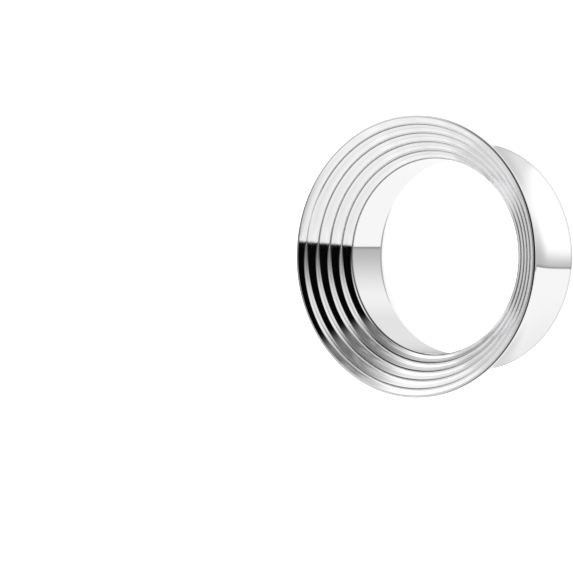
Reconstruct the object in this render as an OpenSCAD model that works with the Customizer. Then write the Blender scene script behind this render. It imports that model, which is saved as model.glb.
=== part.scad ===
// Stepped double-flared ear tunnel, turned from one piece of steel.
// It lies on its back flare: +Z runs along the bore, up to the stepped front flange.
// The origin is on the bore's axis, in the plane of the back rim.

/* [Overall] */
// Width of the tunnel, from the back rim to the top of the front lip
length = 12; // [10:0.5:16]
// Diameter that the ear rests on, the size the tunnel is sold by
gauge_d = 22; // [19:0.5:24]
// Thickness of the metal between that diameter and the bore
wall = 0.7; // [0.5:0.05:1]

/* [Front flange] */
// Diameter of the front flange over its lip
flange_d = 29.7; // [27:0.1:34]
// Radius of the lip's crest
lip_r = 0.2; // [0.1:0.05:0.25]
// Radius of the lip's back edge
lip_back_r = 0.12; // [0.05:0.01:0.2]
// Height of the flange's outer edge between its two faces, before they are rounded
lip_t = 0.56; // [0.45:0.01:1]
// Slope of the flange's back, in degrees from the flat
flange_back_a = 50; // [46:1:56]

/* [Stepped dish] */
// Depth of the dish, from the lip down to the bore
dish_depth = 4; // [3:0.1:5]
// Number of steps in the dish
step_count = 5; // [3:1:6]
// How much flatter than the dish each tread is, in degrees
tread_tilt = 6; // [4:0.5:9]
// How much steeper than the dish each riser is, in degrees
riser_tilt = 22; // [14:0.5:26]
// Radius of the rounded edge at the inner end of a tread
crest_r = 0.7; // [0.2:0.05:0.75]
// Radius of the hollow at the foot of a riser
root_r = 0.7; // [0.2:0.05:0.75]

/* [Saddle and back flare] */
// How far the back flare stands out past the diameter that the ear rests on
back_lip = 1; // [0.6:0.05:1.5]
// Slope of the back flare's outside, in degrees from the axis
back_flare_a = 20; // [16:1:26]
// Radius of the hollow between the front flange and the saddle
saddle_front_r = 4.5; // [2:0.5:5]
// Radius of the hollow between the saddle and the back flare
saddle_back_r = 12; // [6:0.5:14]
// Radius of the back rim's outer edge
rim_r = 0.15; // [0.05:0.01:0.18]
// Width of the flat that the back rim stands on, before its edges are rounded
rim_land = 0.32; // [0.3:0.01:0.6]
// Radius of the back rim's inner edge
rim_inner_r = 0.05; // [0.02:0.01:0.1]

/* [Bore ends] */
// Height of the bevel from the back rim up to the bore
bevel_h = 2.6; // [1.6:0.1:3]
// Radius of the edges at both ends of the bore
bore_edge_r = 0.1; // [0.05:0.01:0.15]

/* [Hidden] */

// Smoothness of the turned surfaces
turn_fn = 180;
arc_fn = 96;
// How far each corner's arc stays off the two sides that it blends
arc_gap = 0.0002;
// Share of a step's face that one of its two arcs may take
step_share = 0.48;
// Share of the room between two faces that the arcs there may take
edge_share = 0.95;

waist_r = gauge_d / 2;
bore_r = waist_r - wall;
back_r = waist_r + back_lip;
flange_r = flange_d / 2;

// Tread and riser slopes, in degrees from the flat
dish_a = atan(dish_depth / (flange_r - bore_r));
tread_a = dish_a - tread_tilt;
riser_a = dish_a + riser_tilt;
tread_dir = [cos(tread_a), sin(tread_a)];
riser_dir = [cos(riser_a), sin(riser_a)];

// One step across and down; the bore cuts the last riser at half its length
step_run = (flange_r - bore_r) / step_count;
lip_rise = lip_r * (1 / cos(tread_a) + tan(tread_a) - 1);
step_drop = (dish_depth + lip_rise - step_run * tan(tread_a) / 2) / (step_count - 0.5);
riser_len = (step_drop - step_run * tan(tread_a)) / (sin(riser_a) - cos(riser_a) * tan(tread_a));
tread_len = (step_run - riser_len * cos(riser_a)) / cos(tread_a);

// A step's rounded corners share its shorter face; the last crest shares half a riser with the bore's edge
corner_turn = tan((riser_a - tread_a) / 2);
step_room = step_share * min(riser_len, tread_len) / corner_turn;
last_room = edge_share * (riser_len / 2 - bore_edge_r * tan((90 - riser_a) / 2)) / corner_turn;
root_fit_r = min(root_r, step_room);

bore_top = [bore_r, length - dish_depth];
bore_bottom = [bore_r, bevel_h];

// Sharp corners of the front lip, the rim and the saddle
lip_corner = [flange_r, length + lip_rise];
lip_back_corner = lip_corner - [0, lip_t];
rim_corner = [back_r + rim_r * (tan(45 + back_flare_a / 2) - 1), 0];
rim_inner_corner = rim_corner - [rim_land, 0];
flare_foot = [waist_r, (rim_corner[0] - waist_r) / tan(back_flare_a)];
flange_foot = [waist_r, lip_back_corner[1] - (flange_r - waist_r) * tan(flange_back_a)];

// The saddle's two hollows share the waist between them
saddle_reach = saddle_back_r * tan(back_flare_a / 2) + saddle_front_r * tan((90 - flange_back_a) / 2);
saddle_fit = min(1, edge_share * (flange_foot[1] - flare_foot[1]) / saddle_reach);

// Sharp edge of step k, counted from the lip, and the foot of its riser
function crest(k) = bore_top + riser_dir * riser_len / 2 + (step_count - k) * [step_run, step_drop];
function root(k) = crest(k) - riser_dir * riser_len;
function crest_fit_r(k) = min(crest_r, step_room, k == step_count ? last_room : step_room);

// The section's sharp corners, each with the radius that rounds it, once round the metal
section = concat(
    [[lip_corner, lip_r], [crest(1), crest_fit_r(1)]],
    [for (k = [2:step_count], corner = [[root(k - 1), root_fit_r], [crest(k), crest_fit_r(k)]]) corner],
    [[bore_top, bore_edge_r], [bore_bottom, bore_edge_r]],
    [[rim_inner_corner, rim_inner_r], [rim_corner, rim_r]],
    [[flare_foot, saddle_back_r * saddle_fit], [flange_foot, saddle_front_r * saddle_fit]],
    [[lip_back_corner, lip_back_r]]
);

function unit(v) = v / norm(v);

// Corner i of an outline: [corner, radius, arc centre, where the arc starts, where it ends, is it an outer corner]
function rounding(outline, i) =
    let (
        n = len(outline),
        p = outline[i][0],
        r = outline[i][1],
        back = unit(outline[(i + n - 1) % n][0] - p),
        ahead = unit(outline[(i + 1) % n][0] - p),
        half = acos(back * ahead) / 2,
        reach = r / tan(half)
    )
    [p, r, p + unit(back + ahead) * r / sin(half), p + back * reach, p + ahead * reach, cross(back, ahead) < 0];

// The slice of a disc that a rounded corner's arc bounds
module slice(rounded) {
    centre = rounded[2];
    reach = 2 * rounded[1];
    intersection() {
        translate(centre)
            circle(r = rounded[1] - arc_gap, $fn = arc_fn);
        polygon([
            centre,
            centre + reach * unit(rounded[3] - centre),
            centre + reach * unit(rounded[0] - centre),
            centre + reach * unit(rounded[4] - centre)
        ]);
    }
}

// An outline with a true arc at every corner
module rounded_outline(outline) {
    corners = [for (i = [0:len(outline) - 1]) rounding(outline, i)];
    difference() {
        union() {
            polygon([for (c = corners, end = [c[3], c[4]]) end]);
            for (c = corners)
                if (c[5])
                    slice(c);
        }
        for (c = corners)
            if (!c[5])
                slice(c);
    }
}

module tunnel() {
    color("silver")
        rotate_extrude($fn = turn_fn)
            rounded_outline(section);
}

tunnel();
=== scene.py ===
"""Dresses the turned steel ear tunnel: its fine surface, polished steel, a studio tent and the camera."""
import math

import bpy
from mathutils import Matrix, Vector


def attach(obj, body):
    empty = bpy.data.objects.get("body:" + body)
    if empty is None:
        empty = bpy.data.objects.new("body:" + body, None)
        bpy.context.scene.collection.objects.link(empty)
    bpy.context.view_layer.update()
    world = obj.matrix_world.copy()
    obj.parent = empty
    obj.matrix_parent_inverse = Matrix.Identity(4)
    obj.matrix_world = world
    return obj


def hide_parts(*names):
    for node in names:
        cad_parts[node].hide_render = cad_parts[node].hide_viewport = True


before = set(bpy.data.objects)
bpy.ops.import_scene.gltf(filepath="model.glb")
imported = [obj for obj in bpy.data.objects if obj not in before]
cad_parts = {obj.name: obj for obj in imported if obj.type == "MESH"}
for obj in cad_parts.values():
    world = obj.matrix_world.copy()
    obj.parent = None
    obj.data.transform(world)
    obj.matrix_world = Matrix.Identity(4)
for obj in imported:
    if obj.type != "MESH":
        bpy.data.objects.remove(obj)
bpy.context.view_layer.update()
MM = 0.001


def tan(degrees):
    """The tangent of an angle in degrees."""
    return math.tan(math.radians(degrees))


# The section's sizes in mm and degrees, the same as in part.scad
LENGTH = 12.0
WALL = 0.7
GAUGE_D = 22.0
FLANGE_D = 29.7
LIP_R = 0.2
LIP_BACK_R = 0.12
LIP_T = 0.56
FLANGE_BACK_A = 50.0
DISH_DEPTH = 4.0
STEPS = 5
TREAD_TILT = 6.0
RISER_TILT = 22.0
CREST_R = 0.7
ROOT_R = 0.7
BACK_LIP = 1.0
BACK_FLARE_A = 20.0
SADDLE_FRONT_R = 4.5
SADDLE_BACK_R = 12.0
RIM_R = 0.15
RIM_LAND = 0.32
RIM_INNER_R = 0.05
BEVEL_H = 2.6
BORE_EDGE_R = 0.1

# Share of a step's face that one of its arcs may take, and of the room beside the bore's edge
STEP_SHARE = 0.48
EDGE_SHARE = 0.95

# Sizes that follow from these
WAIST_R = GAUGE_D / 2
BORE_R = WAIST_R - WALL
FLANGE_R = FLANGE_D / 2
DISH_FLOOR = LENGTH - DISH_DEPTH
DISH_A = math.degrees(math.atan(DISH_DEPTH / (FLANGE_R - BORE_R)))
TREAD_A = DISH_A - TREAD_TILT
RISER_A = DISH_A + RISER_TILT
LIP_RISE = LIP_R * (1 / math.cos(math.radians(TREAD_A)) + tan(TREAD_A) - 1)

# How finely the turned surface is faceted
DEGREES_PER_FACE = 2.4
LEAST_FACES = 4
FACES_AROUND = 288

# The camera's line of sight, in degrees off the bore's axis, and the place of the front rim in the picture.
# The rim's outline lies a little under the lip's top.
VIEW_OFF_AXIS = 32.6
RIM_AT_PX = (415.9, 256.5)
RIM_DOWN = 0.17
FRAME_PX = 573.0
MM_PER_PX = 0.105
CAMERA_MM = 2500.0
SENSOR_MM = 36.0
CLIP_M = (0.1, 10.0)

# The picture's directions on the tunnel: its right, its up, and back towards the camera
TURN = math.radians(VIEW_OFF_AXIS)
BACK = Vector((0, -math.sin(TURN), math.cos(TURN)))
UP = Vector((1, 0, 0))
RIGHT = UP.cross(BACK)

# Light goes from step to step many times before it leaves the dish
LIGHT_BOUNCES = 16
MIRROR_BOUNCES = 12


def step_corners():
    """The dish's sharp corners from the lip to the bore, crests and roots in turn, each with its radius."""
    # One step across and down; the bore cuts the last riser at half its length
    riser = Vector((math.cos(math.radians(RISER_A)), math.sin(math.radians(RISER_A))))
    run = (FLANGE_R - BORE_R) / STEPS
    drop = (DISH_DEPTH + LIP_RISE - run * tan(TREAD_A) / 2) / (STEPS - 0.5)
    riser_len = (drop - run * tan(TREAD_A)) / (riser.y - riser.x * tan(TREAD_A))
    tread_len = (run - riser_len * riser.x) / math.cos(math.radians(TREAD_A))

    # A step's arcs share its shorter face; the last crest's shares half a riser with the bore's edge
    corner_turn = tan((RISER_A - TREAD_A) / 2)
    room = STEP_SHARE * min(riser_len, tread_len) / corner_turn
    last_room = EDGE_SHARE * (riser_len / 2 - BORE_EDGE_R * tan((90 - RISER_A) / 2)) / corner_turn
    corners = []
    for k in range(1, STEPS + 1):
        crest = Vector((BORE_R, DISH_FLOOR)) + riser * riser_len / 2 + (STEPS - k) * Vector((run, drop))
        if k == STEPS:
            corners.append((crest, min(CREST_R, room, last_room)))
        else:
            corners.append((crest, min(CREST_R, room)))
            corners.append((crest - riser * riser_len, min(ROOT_R, room)))
    return corners


def section():
    """Sharp corners of the section as (radius, height), each with its rounding, once round the metal."""
    lip = Vector((FLANGE_R, LENGTH + LIP_RISE))
    lip_back = lip - Vector((0, LIP_T))
    rim = Vector((WAIST_R + BACK_LIP + RIM_R * (tan(45 + BACK_FLARE_A / 2) - 1), 0))
    flare_foot = Vector((WAIST_R, (rim.x - WAIST_R) / tan(BACK_FLARE_A)))
    flange_foot = Vector((WAIST_R, lip_back.y - (FLANGE_R - WAIST_R) * tan(FLANGE_BACK_A)))
    return [
        (lip, LIP_R),
        *step_corners(),
        (Vector((BORE_R, DISH_FLOOR)), BORE_EDGE_R),
        (Vector((BORE_R, BEVEL_H)), BORE_EDGE_R),
        (rim - Vector((RIM_LAND, 0)), RIM_INNER_R),
        (rim, RIM_R),
        (flare_foot, SADDLE_BACK_R),
        (flange_foot, SADDLE_FRONT_R),
        (lip_back, LIP_BACK_R),
    ]


def rounded(corners):
    """Points and outward normals of the section with a true arc at every corner."""
    out = []
    for i, (corner, r) in enumerate(corners):
        back = (corners[i - 1][0] - corner).normalized()
        ahead = (corners[(i + 1) % len(corners)][0] - corner).normalized()
        half = back.angle(ahead) / 2
        centre = corner + (back + ahead).normalized() * r / math.sin(half)
        outward = 1 if back.x * ahead.y - back.y * ahead.x < 0 else -1
        start = corner + back * r / math.tan(half) - centre
        end = corner + ahead * r / math.tan(half) - centre
        sweep = math.atan2(start.x * end.y - start.y * end.x, start.dot(end))
        faces = max(LEAST_FACES, math.ceil(math.degrees(abs(sweep)) / DEGREES_PER_FACE))
        for j in range(faces + 1):
            spoke = start.copy()
            spoke.rotate(Matrix.Rotation(sweep * j / faces, 2))
            out.append((centre + spoke, spoke.normalized() * outward))
    return out


def placed(name, data):
    """A new object of this name in the scene."""
    obj = bpy.data.objects.new(name, data)
    bpy.context.collection.objects.link(obj)
    return obj


def turned(name, profile):
    """A closed surface turned from the profile about +Z, with the profile's own normals."""
    verts = []
    normals = []
    faces = []
    n = len(profile)
    for j in range(FACES_AROUND):
        angle = 2 * math.pi * j / FACES_AROUND
        c = math.cos(angle)
        s = math.sin(angle)
        for point, normal in profile:
            verts.append((point.x * c * MM, point.x * s * MM, point.y * MM))
            normals.append((normal.x * c, normal.x * s, normal.y))
    for j in range(FACES_AROUND):
        k = (j + 1) % FACES_AROUND
        for i in range(n):
            h = (i + 1) % n
            faces.append((j * n + i, k * n + i, k * n + h, j * n + h))
    mesh = bpy.data.meshes.new(name)
    mesh.from_pydata(verts, [], faces)
    mesh.update()
    mesh.shade_smooth()
    mesh.normals_split_custom_set_from_vertices(normals)
    return placed(name, mesh)


class Field:
    """A number that a shader works out at each point, which adds and multiplies as plain numbers do."""

    def __init__(self, tree, socket):
        self.tree = tree
        self.socket = socket

    def __add__(self, other):
        return worked("ADD", self, other)

    def __sub__(self, other):
        return worked("SUBTRACT", self, other)

    def __rsub__(self, other):
        return worked("SUBTRACT", other, self)

    def __mul__(self, other):
        return worked("MULTIPLY", self, other)

    def __truediv__(self, other):
        return worked("DIVIDE", self, other)

    __radd__ = __add__
    __rmul__ = __mul__


def connect(x, socket):
    """Links a field to the socket, or sets a plain number on it."""
    if isinstance(x, Field):
        x.tree.links.new(x.socket, socket)
    else:
        socket.default_value = x


def worked(operation, *inputs):
    """What one maths node makes of its inputs."""
    tree = next(x.tree for x in inputs if isinstance(x, Field))
    node = tree.nodes.new("ShaderNodeMath")
    node.operation = operation
    for x, socket in zip(inputs, node.inputs):
        connect(x, socket)
    return Field(tree, node.outputs["Value"])


def largest(first, *others):
    """The largest of a field and other fields or numbers."""
    for x in others:
        first = worked("MAXIMUM", first, x)
    return first


def over(x, limit):
    """1 where x is over the limit, otherwise 0."""
    return worked("GREATER_THAN", x, limit)


def under(x, limit):
    """1 where x is under the limit, otherwise 0."""
    return worked("LESS_THAN", x, limit)


def ramp(x, start, end, low=0.0, high=1.0):
    """Low up to the start, high from the end on, and a smooth way between them."""
    node = x.tree.nodes.new("ShaderNodeMapRange")
    node.interpolation_type = "SMOOTHSTEP"
    connect(x, node.inputs["Value"])
    connect(start, node.inputs["From Min"])
    connect(end, node.inputs["From Max"])
    connect(low, node.inputs["To Min"])
    connect(high, node.inputs["To Max"])
    return Field(x.tree, node.outputs["Result"])


def fade(x, start, end, high=1.0, low=0.0):
    """High up to the start, low from the end on, and a smooth way between them."""
    return ramp(x, start, end, high, low)


def mixed(share, a, b):
    """a where the share is 0, b where it is 1."""
    return a * (1.0 - share) + b * share


def noise(tree, vector, scale, detail):
    """Noise at the places that a vector's socket gives."""
    node = tree.nodes.new("ShaderNodeTexNoise")
    node.inputs["Scale"].default_value = scale
    node.inputs["Detail"].default_value = detail
    tree.links.new(vector, node.inputs["Vector"])
    return Field(tree, node.outputs["Fac"])


def line_noise(x, scale, detail):
    """Noise along one field."""
    node = x.tree.nodes.new("ShaderNodeTexNoise")
    node.noise_dimensions = "1D"
    node.inputs["Scale"].default_value = scale
    node.inputs["Detail"].default_value = detail
    connect(x, node.inputs["W"])
    return Field(x.tree, node.outputs["Fac"])


# The steel. Places are in mm on the tunnel: up and left are those of the photograph's picture, and
# around is left / radius, from -1 at the picture's far right to 1 at its far left. A pair of places, or of
# other limits, says between which two a thing changes, and a pair of strengths says from which to which.

# The share of light that the steel gives back, in the dish's streaks and elsewhere, and its cast
DISH_TONE = (0.81, 0.83)
PLAIN_TONE = 0.93
BLUE_CAST = 1.006

# How much darker and rougher full residue and painted shade make it, and the most that it darkens
RESIDUE_AND_SHADE_DARK = 0.66
RESIDUE_ROUGH = 0.12
MOST_DARK = 0.97

# Scale and detail of the noise in the turning rings, in the wider streaks and in the smudges of handling
RING_NOISE = (9.0, 3.0)
STREAK_NOISE = (2.6, 2.0)
SMUDGE_NOISE = (260.0, 4.0)
NOISE_MIDDLE = (0.3, 0.7)
SMUDGE_RANGE = (0.45, 0.75)
RING_ROUGH = (0.04, 0.055)
SMUDGE_ROUGH = 0.02

# The rings' depth and strength in the bump, how much more the streaks have, and the share outside the dish
RING_DEPTH = 0.02
RING_BUMP = 0.12
STREAK_BUMP = 2.0
PLAIN_BUMP = 0.1

# How far the dish ends inside the flange's edge, outside the bore and under the risers' feet
DISH_IN = 0.1
DISH_OUT = 0.02
DISH_DOWN = 0.4

# Lines lie a little outside the risers' feet, and none lies this many steps outside the outermost one
LINE_OUT = 0.04
LINE_CORE = 0.02
LINE_LAST = 0.4

# The crisp line's half width on the right and on the left, and what is added to it below
CRISP_HALF = (0.08, 0.055)
CRISP_HALF_LEFT = (2.0, 11.0)
CRISP_MORE = 0.03
CRISP_MORE_UP = (-10.0, 0.0)

# Beside the dark bands most of the crisp line is left out, and the outermost one fades on the left
BANDS_TOP = (1.0, 1.8)
BANDS_FOOT = (-10.0, -6.0)
BANDS_LEFT = (3.0, 7.0)
BANDS_LEFT_OUT = 0.8
FIRST_LINE = (-0.5, -0.3)
FIRST_AROUND = (0.84, 0.93)
FIRST_LEFT_OUT = 0.9

# The film of residue and painted shade: its broad and narrow part, how far in from the line each lies, and
# its half width
FILM_BROAD = (0.2, 0.2)
FILM_NARROW = (0.36, 0.07)

# The broad part is weaker above
BROAD_ABOVE = 0.4
BROAD_UP = (-3.0, 4.0)

# How dark the film of residue and painted shade is on the right and on the left, and in its low part near the
# bore and near the lip
FILM_AND_SHADE_DARK = (0.26, 0.1)
FILM_AND_SHADE_DARK_LEFT = (2.0, 10.0)
FILM_AND_SHADE_LOW_DARK = (0.42, 0.16)
FILM_LOW_RADIUS = (11.0, 14.0)
FILM_LOW_UP = (-9.0, -3.0)
FILM_LOW_LEFT = (3.0, 9.0)

# On the far right, where the steps are seen nearly edge on, a heavy line and film of painted shade lie over
# the crisp line
HEAVY_AROUND = (-0.97, -0.8)
HEAVY_LINE = (0.1, 0.32)
HEAVY_LINE_DARK = 1.3
HEAVY_SHADE_DARK = 0.38

# Painted shade lies by the lip on the left, above the middle
LIP_EDGE_SHADE_IN = (0.7, 0.1)
LIP_EDGE_SHADE_DARK = 0.7
LIP_EDGE_SHADE_AROUND = (0.72, 0.97)
LIP_EDGE_SHADE_UP = (1.5, 2.5)

# The bore's edge has its own line of residue and painted shade, wider on the far right
BORE_LINE_OUT = 0.04
BORE_LINE_HALF = 0.07
BORE_LINE_MORE = 0.45
BORE_LINE_DOWN = 0.1

# All residue and painted shade in the dish is heavier below, most of all near the bore; the extra below is
# painted shade
BELOW_UP = (-10.0, 2.0)
BELOW_TIMES = (1.8, 1.1)
BELOW_RADIUS = (10.5, 14.5)

# The lip is darker where it rolls over to its outer side, in radians from its top, most of all on the right
LIP_ROLL_ON = (0.2, 0.5)
LIP_ROLL_OFF = (1.0, 1.4)
LIP_DARK = 1.5
LIP_LEFT = (-13.0, 2.0)
LIP_LEFT_SHARE = 0.3

# The back rim is a little darker all round
RIM_LEVEL = (0.12, 0.4)
RIM_DARK = 0.45


class Place:
    """Where a point of the steel lies. Steps of the width run count outwards from the outermost groove."""

    def __init__(self, tree):
        self.vector = tree.nodes.new("ShaderNodeTexCoord").outputs["Object"]
        split = tree.nodes.new("ShaderNodeSeparateXYZ")
        tree.links.new(self.vector, split.inputs["Vector"])
        x = Field(tree, split.outputs["X"])
        y = Field(tree, split.outputs["Y"])
        self.radius = worked("SQRT", x * x + y * y) / MM
        self.level = Field(tree, split.outputs["Z"]) / MM
        self.left = y / MM
        self.up = x / MM
        self.around = self.left / self.radius

        corners = step_corners()
        first_root = corners[1][0]
        next_root = corners[3][0]
        self.run = first_root.x - next_root.x
        self.steps = (self.radius - (first_root.x + LINE_OUT)) / self.run
        over_feet = self.level - (self.steps * (first_root.y - next_root.y) + first_root.y)
        inside = under(self.radius, FLANGE_R - DISH_IN) * over(self.radius, BORE_R + DISH_OUT)
        self.dish = over(over_feet, -DISH_DOWN) * inside
        self.heavy_side = fade(self.around, *HEAVY_AROUND)


def groove_line(place, inward, half_width):
    """1 on a ring that lies this far in from each groove's line, falling to 0 at the half width."""
    steps = place.steps + (inward / place.run + 0.5)
    off = worked("ABSOLUTE", worked("FRACT", steps) - 0.5) * place.run
    return fade(off, LINE_CORE, half_width) * under(steps, LINE_LAST + 0.5)


def crisp_lines(place):
    """The thin dark line at each riser's foot: residue where the polishing wheel doesn't reach, with painted
    shade in the groove.
    """
    half_width = ramp(place.left, *CRISP_HALF_LEFT, *CRISP_HALF) + fade(place.up, *CRISP_MORE_UP, CRISP_MORE)
    by_bands = fade(place.up, *BANDS_TOP) * ramp(place.up, *BANDS_FOOT) * ramp(place.left, *BANDS_LEFT)
    first = ramp(place.steps, *FIRST_LINE) * ramp(place.around, *FIRST_AROUND)
    left_out = largest(by_bands * BANDS_LEFT_OUT, first * FIRST_LEFT_OUT)
    return groove_line(place, 0.0, half_width) * (1.0 - left_out)


def film_and_painted_shade(place):
    """A thin film of residue and painted shade on the inner side of each line, stronger in the lower part and
    there most near the bore.
    """
    broad = groove_line(place, *FILM_BROAD) * fade(place.up, *BROAD_UP, 1.0, BROAD_ABOVE)
    low_part = fade(place.up, *FILM_LOW_UP) * fade(place.left, *FILM_LOW_LEFT)
    plain_dark = ramp(place.left, *FILM_AND_SHADE_DARK_LEFT, *FILM_AND_SHADE_DARK)
    low_dark = ramp(place.radius, *FILM_LOW_RADIUS, *FILM_AND_SHADE_LOW_DARK)
    return largest(broad, groove_line(place, *FILM_NARROW)) * mixed(low_part, plain_dark, low_dark)


def heavy_painted_shade(place):
    """The heavy line and film of painted shade on the far right."""
    return (groove_line(place, *HEAVY_LINE) * HEAVY_LINE_DARK + HEAVY_SHADE_DARK) * place.heavy_side


def painted_shade_by_lip(place):
    """The painted shade by the lip on the left."""
    by_lip = ramp(place.radius, FLANGE_R - LIP_EDGE_SHADE_IN[0], FLANGE_R - LIP_EDGE_SHADE_IN[1], 0.0, LIP_EDGE_SHADE_DARK)
    return by_lip * ramp(place.around, *LIP_EDGE_SHADE_AROUND) * ramp(place.up, *LIP_EDGE_SHADE_UP)


def bore_line(place):
    """The line of residue and painted shade on the edge between the dish and the bore."""
    off = worked("ABSOLUTE", place.radius - (BORE_R + BORE_LINE_OUT))
    half_width = place.heavy_side * BORE_LINE_MORE + BORE_LINE_HALF
    return fade(off, LINE_CORE, half_width) * over(place.level, DISH_FLOOR - BORE_LINE_DOWN)


def lip_shade(place):
    """The shade where the lip rolls over to its outer side."""
    rolled = worked("ARCTAN2", place.radius - (FLANGE_R - LIP_R), place.level - (LENGTH - LIP_R))
    shade = ramp(rolled, *LIP_ROLL_ON) * fade(rolled, *LIP_ROLL_OFF) * LIP_DARK
    return shade * over(place.level, LENGTH - LIP_R) * fade(place.left, *LIP_LEFT, 1.0, LIP_LEFT_SHARE)


def painted_shade_and_residue(place):
    """How much residue and painted shade the steel has at a place. Full is 1, and it may be more."""
    in_dish = largest(crisp_lines(place), heavy_painted_shade(place), film_and_painted_shade(place), painted_shade_by_lip(place)) * place.dish
    times = ramp(place.up, *BELOW_UP, ramp(place.radius, *BELOW_RADIUS, *BELOW_TIMES), 1.0)
    in_dish = largest(in_dish, bore_line(place)) * times
    return largest(in_dish, lip_shade(place), fade(place.level, *RIM_LEVEL, RIM_DARK))


def polished_steel():
    """Mirror-polished steel with turning rings, the haze of handling, and residue with painted shade in the
    grooves.
    """
    material = bpy.data.materials.new("polished_steel")
    material.use_nodes = True
    tree = material.node_tree
    shader = tree.nodes["Principled BSDF"]
    shader.inputs["Metallic"].default_value = 1.0
    place = Place(tree)
    # Residue and painted shade, which darken the steel's colour and add roughness
    residue_and_painted_shade = painted_shade_and_residue(place)

    # Rings and streaks run round the axis, as the turning tool leaves them
    ring_at = tree.nodes.new("ShaderNodeCombineXYZ")
    connect(place.radius, ring_at.inputs["X"])
    connect(place.level, ring_at.inputs["Y"])
    rings = noise(tree, ring_at.outputs["Vector"], *RING_NOISE)
    streaks = noise(tree, ring_at.outputs["Vector"], *STREAK_NOISE)
    smudges = ramp(noise(tree, place.vector, *SMUDGE_NOISE), *SMUDGE_RANGE)

    tone = mixed(place.dish, PLAIN_TONE, ramp(streaks, *NOISE_MIDDLE, *DISH_TONE))
    tone = tone * (1.0 - worked("MINIMUM", residue_and_painted_shade * RESIDUE_AND_SHADE_DARK, MOST_DARK))
    tint = tree.nodes.new("ShaderNodeCombineColor")
    connect(tone, tint.inputs["Red"])
    connect(tone, tint.inputs["Green"])
    connect(tone * BLUE_CAST, tint.inputs["Blue"])
    tree.links.new(tint.outputs["Color"], shader.inputs["Base Color"])

    roughness = ramp(rings, *NOISE_MIDDLE, *RING_ROUGH) + smudges * SMUDGE_ROUGH
    connect(roughness + residue_and_painted_shade * RESIDUE_ROUGH, shader.inputs["Roughness"])

    bump = tree.nodes.new("ShaderNodeBump")
    bump.inputs["Strength"].default_value = RING_BUMP
    bump.inputs["Distance"].default_value = RING_DEPTH * MM
    connect((rings + streaks * STREAK_BUMP) * mixed(place.dish, PLAIN_BUMP, 1.0), bump.inputs["Height"])
    tree.links.new(bump.outputs["Normal"], shader.inputs["Normal"])
    return material


def add_tunnel():
    """The finely faceted tunnel, which stands for the CAD solid, and its steel."""
    steel = polished_steel()
    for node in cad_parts.values():
        node.data.materials.clear()
        node.data.materials.append(steel)
    tunnel = turned("tunnel_turned", rounded(section()))
    tunnel.data.materials.append(steel)
    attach(tunnel, "root")
    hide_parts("tunnel")


def add_camera():
    """Looks along the photograph's line of sight, with the front rim where the photograph has it."""
    middle = (
        Vector((0, 0, LENGTH - RIM_DOWN))
        - RIGHT * (RIM_AT_PX[0] - FRAME_PX / 2) * MM_PER_PX
        - UP * (FRAME_PX / 2 - RIM_AT_PX[1]) * MM_PER_PX
    )
    data = bpy.data.cameras.new("camera")
    data.sensor_width = SENSOR_MM
    data.lens = SENSOR_MM * CAMERA_MM / (FRAME_PX * MM_PER_PX)
    data.clip_start, data.clip_end = CLIP_M
    camera = placed("camera", data)
    axes = Matrix((RIGHT, UP, BACK)).transposed().to_4x4()
    camera.matrix_world = Matrix.Translation((middle + BACK * CAMERA_MM) * MM) @ axes
    bpy.context.scene.camera = camera


def set_light_paths():
    """Plain colours, and enough bounces for the steps, which mirror each other many times."""
    scene = bpy.context.scene
    scene.view_settings.view_transform = "Standard"
    scene.cycles.max_bounces = LIGHT_BOUNCES
    scene.cycles.glossy_bounces = MIRROR_BOUNCES


# The floor: its half width in m, how far it lies under the tunnel, and how white it is and glows
FLOOR_HALF = 3.0
FLOOR_DROP = 0.00001
FLOOR_WHITE = 0.9
FLOOR_ROUGH = 0.9
FLOOR_GLOW = 0.55


def add_floor():
    """A plain white floor. The steel doesn't mirror it, because the studio has a table of its own."""
    mesh = bpy.data.meshes.new("floor")
    h = FLOOR_HALF
    mesh.from_pydata([(-h, -h, 0), (h, -h, 0), (h, h, 0), (-h, h, 0)], [], [(0, 1, 2, 3)])
    floor = placed("floor", mesh)
    floor.location.z = -FLOOR_DROP
    floor.visible_glossy = False
    material = bpy.data.materials.new("floor")
    material.use_nodes = True
    shader = material.node_tree.nodes["Principled BSDF"]
    shader.inputs["Base Color"].default_value = (FLOOR_WHITE, FLOOR_WHITE, FLOOR_WHITE, 1)
    shader.inputs["Roughness"].default_value = FLOOR_ROUGH
    shader.inputs["Specular IOR Level"].default_value = 0.0
    shader.inputs["Emission Color"].default_value = (1, 1, 1, 1)
    shader.inputs["Emission Strength"].default_value = FLOOR_GLOW
    mesh.materials.append(material)


# The studio. Directions are in degrees as the tunnel sees them: side is to the right of the camera and height
# above it. Pairs are limits and strengths as they are for the steel.

# The right part runs from beside the camera round to behind the tunnel, and the rest is called the front
RIGHT_PART = (45.0, 75.0)
BEHIND = (98.0, 119.0)

# The table's far edge: in front it falls to the right, and in the right part it rises again, up to a limit
TABLE_FRONT = -7.0
TABLE_FALL = 0.067
TABLE_SIDE = -9.3
TABLE_RISE_FROM = 76.0
TABLE_RISE_WIDTH = 39.0
TABLE_RISE = 3.1
TABLE_BEHIND = -5.5
TABLE_BLUR = 0.3

# The table's light in front and in the right part, and the faint folds in front
TABLE_FRONT_LIGHT = (1.1, 1.03)
TABLE_FRONT_HEIGHT = (-60.0, -20.0)
TABLE_RIGHT_LIGHT = (0.9, 0.99)
TABLE_RIGHT_HEIGHT = (-75.0, -25.0)
TABLE_FOLDS = (0.35, 0.65)
TABLE_FOLDS_LIGHT = (0.9, 1.08)

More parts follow.
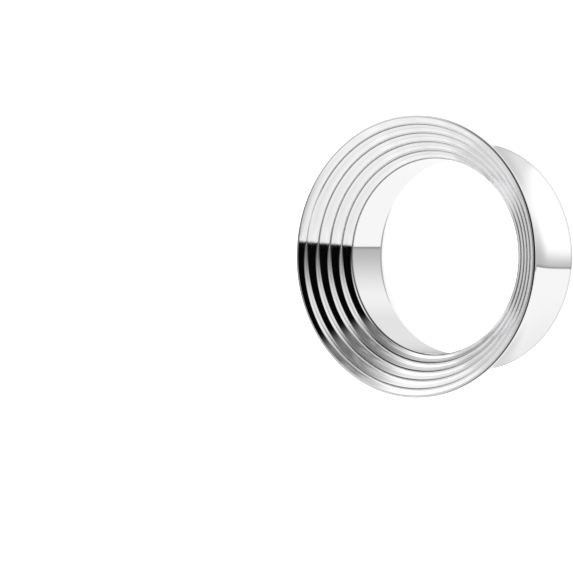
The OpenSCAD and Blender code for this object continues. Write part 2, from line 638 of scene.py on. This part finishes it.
# The tent's walls by the table, and how far up they stay darker: in front, beside the tunnel and behind it
LOW_FRONT = (0.3, 0.03)
LOW_FRONT_SIDE = (-40.0, 0.0)
LOW_BESIDE = 0.54
LOW_BEHIND = 0.5
REACH_FRONT = 42.0
REACH_BESIDE = 16.0
REACH_BEHIND = 37.0

# The tent's own light: in front it is brighter high up and on the far left, and dimmer far round on the right
TENT_FRONT = (0.98, 1.15)
TENT_FRONT_HEIGHT = (30.0, 65.0)
TENT_LEFT_TIMES = 1.15
TENT_LEFT_SIDE = (-88.0, -66.0)
TENT_RIGHT = 1.08
TENT_FAR_TIMES = 0.76
TENT_FAR_SIDE = (115.0, 142.0)

# A dark strip lies just over the table's edge
STRIP_HEIGHT = (0.2, 2.2)
STRIP_TIMES = 0.55

# The grey figure: where its middle is, how far it reaches, and the folds that run through it
FIGURE_AT = (-12.0, 64.0)
FIGURE_REACH = (8.0, 30.0)
FIGURE_LIGHT = (0.0, 0.56)
FOLD_NOISE = (28.0, 4.0)
FOLD_ALONG = RIGHT * 0.68 + UP * 0.2 - BACK * 0.7
FOLD_RANGE = (0.4, 0.62)

# The dark opening round the camera: its right edge leans left as it rises from the table
OPENING_RIGHT = 35.0
OPENING_FOOT = -8.2
OPENING_LEAN = 0.65
OPENING_BLUR = 5.0
OPENING_LEFT = (-34.0, -18.0)
OPENING_TOP = (38.0, 58.0)
OPENING_LIGHT = 0.002

# On the right it is darker high up and low down behind the tunnel
STEEP = (34.0, 48.0)
STEEP_RIGHT = (-0.15, 0.0)
STEEP_BACK = (-0.64, -0.4)
STEEP_TIMES = 0.78

# What the second and later reflections see: a plain tent, which makes up each time for what the steel took
SECOND = 2.0
PAST_FIRST = 1.5
PLAIN_TENT = 1.05
GIVEN_BACK = 1.06

# The lamp's strength and spread
LAMP_STRENGTH = 1.6
LAMP_SPREAD = 70.0


def in_degrees(radians):
    """A field of radians, in degrees."""
    return radians * math.degrees(1)


def direction(side, height):
    """The direction at these degrees beside and above the camera."""
    a = math.radians(side)
    h = math.radians(height)
    return (RIGHT * math.sin(a) + BACK * math.cos(a)) * math.cos(h) + UP * math.sin(h)


class Look:
    """Which way a ray leaves for the studio, and the parts and folds of the studio that way."""

    def __init__(self, tree):
        self.tree = tree
        self.way = tree.nodes.new("ShaderNodeTexCoord").outputs["Generated"]
        self.side = in_degrees(worked("ARCTAN2", self.along(RIGHT), self.along(BACK)))
        self.height = in_degrees(worked("ARCSINE", self.along(UP)))
        self.right_part = ramp(self.side, *RIGHT_PART)
        self.behind = ramp(self.side, *BEHIND)
        self.folds = line_noise(self.along(FOLD_ALONG), *FOLD_NOISE)

    def along(self, vector):
        """How far the way goes along a vector."""
        node = self.tree.nodes.new("ShaderNodeVectorMath")
        node.operation = "DOT_PRODUCT"
        self.tree.links.new(self.way, node.inputs[0])
        node.inputs[1].default_value = vector
        return Field(self.tree, node.outputs["Value"])


def table_edge(look):
    """The height of the table's far edge on each side."""
    front = TABLE_FRONT - largest(look.side, 0.0) * TABLE_FALL
    rise = largest(look.side - TABLE_RISE_FROM, 0.0) / TABLE_RISE_WIDTH
    right = worked("MINIMUM", rise * rise * TABLE_RISE + TABLE_SIDE, TABLE_BEHIND)
    return mixed(look.right_part, front, right)


def table_light(look):
    """The nearly white table, with faint folds in front."""
    front = ramp(look.height, *TABLE_FRONT_HEIGHT, *TABLE_FRONT_LIGHT)
    front = front * ramp(look.folds, *TABLE_FOLDS, *TABLE_FOLDS_LIGHT)
    return mixed(look.right_part, front, ramp(look.height, *TABLE_RIGHT_HEIGHT, *TABLE_RIGHT_LIGHT))


def tent_light(look, edge):
    """The tent's walls, which darken towards the table, most of all beside the camera."""
    low_front = ramp(look.side, *LOW_FRONT_SIDE, *LOW_FRONT)
    low = mixed(look.right_part, low_front, mixed(look.behind, LOW_BESIDE, LOW_BEHIND))
    reach = mixed(look.right_part, REACH_FRONT, mixed(look.behind, REACH_BESIDE, REACH_BEHIND))
    front = ramp(look.height, *TENT_FRONT_HEIGHT, *TENT_FRONT)
    front = front * fade(look.side, *TENT_LEFT_SIDE, TENT_LEFT_TIMES, 1.0)
    tent = mixed(ramp(look.height, edge, reach + edge), low, mixed(look.right_part, front, TENT_RIGHT))
    return tent * fade(look.side, *TENT_FAR_SIDE, 1.0, TENT_FAR_TIMES)


def figure_share(look):
    """The share of the tent's light that is left before the grey figure over the opening."""
    off = in_degrees(worked("ARCCOSINE", look.along(direction(*FIGURE_AT))))
    return ramp(off, *FIGURE_REACH, ramp(look.folds, *FOLD_RANGE, *FIGURE_LIGHT), 1.0)


def opening_mask(look):
    """1 in the dark opening that the camera looks through, which narrows to its top."""
    right_edge = OPENING_RIGHT - (look.height - OPENING_FOOT) * OPENING_LEAN
    across = fade(look.side - right_edge, -OPENING_BLUR, OPENING_BLUR) * ramp(look.side, *OPENING_LEFT)
    return across * fade(look.height, *OPENING_TOP)


def steep_share(look):
    """The share of light that is left high up and low down behind the tunnel, on the right."""
    steep = ramp(worked("ABSOLUTE", look.height), *STEEP) * ramp(look.along(RIGHT), *STEEP_RIGHT)
    return mixed(steep, 1.0, ramp(look.along(BACK), *STEEP_BACK, STEEP_TIMES, 1.0))


def add_studio():
    """A tent with a table, a dark opening round the camera and a grey figure, for the steel to mirror."""
    world = bpy.data.worlds.new("studio")
    bpy.context.scene.world = world
    world.use_nodes = True
    tree = world.node_tree
    background = tree.nodes["Background"]
    background.inputs["Color"].default_value = (1, 1, 1, 1)
    path = tree.nodes.new("ShaderNodeLightPath")
    reflections = Field(tree, path.outputs["Glossy Depth"])
    look = Look(tree)

    # Only a first reflection sees the opening
    edge = table_edge(look)
    over_edge = look.height - edge
    light = tent_light(look, edge) * figure_share(look)
    light = mixed(opening_mask(look) * under(reflections, PAST_FIRST), light, OPENING_LIGHT)
    light = light * ramp(over_edge, *STRIP_HEIGHT, STRIP_TIMES, 1.0)
    light = mixed(fade(over_edge, -TABLE_BLUR, TABLE_BLUR), light, table_light(look))
    light = light * steep_share(look)

    # Later reflections see the plain tent, and the camera sees plain white
    plain_tent = worked("POWER", GIVEN_BACK, reflections - SECOND) * PLAIN_TENT
    light = mixed(over(reflections, PAST_FIRST), light, plain_tent)
    light = mixed(Field(tree, path.outputs["Is Camera Ray"]), light, 1.0)
    connect(light, background.inputs["Strength"])


def add_lamp():
    """Soft light from above on the floor, which the steel doesn't mirror."""
    light = bpy.data.lights.new("soft_light", "SUN")
    light.energy = LAMP_STRENGTH
    light.angle = math.radians(LAMP_SPREAD)
    lamp = placed("soft_light", light)
    lamp.location = (0, 0, 1)
    lamp.visible_glossy = False


add_tunnel()
add_camera()
set_light_paths()
add_floor()
add_studio()
add_lamp()
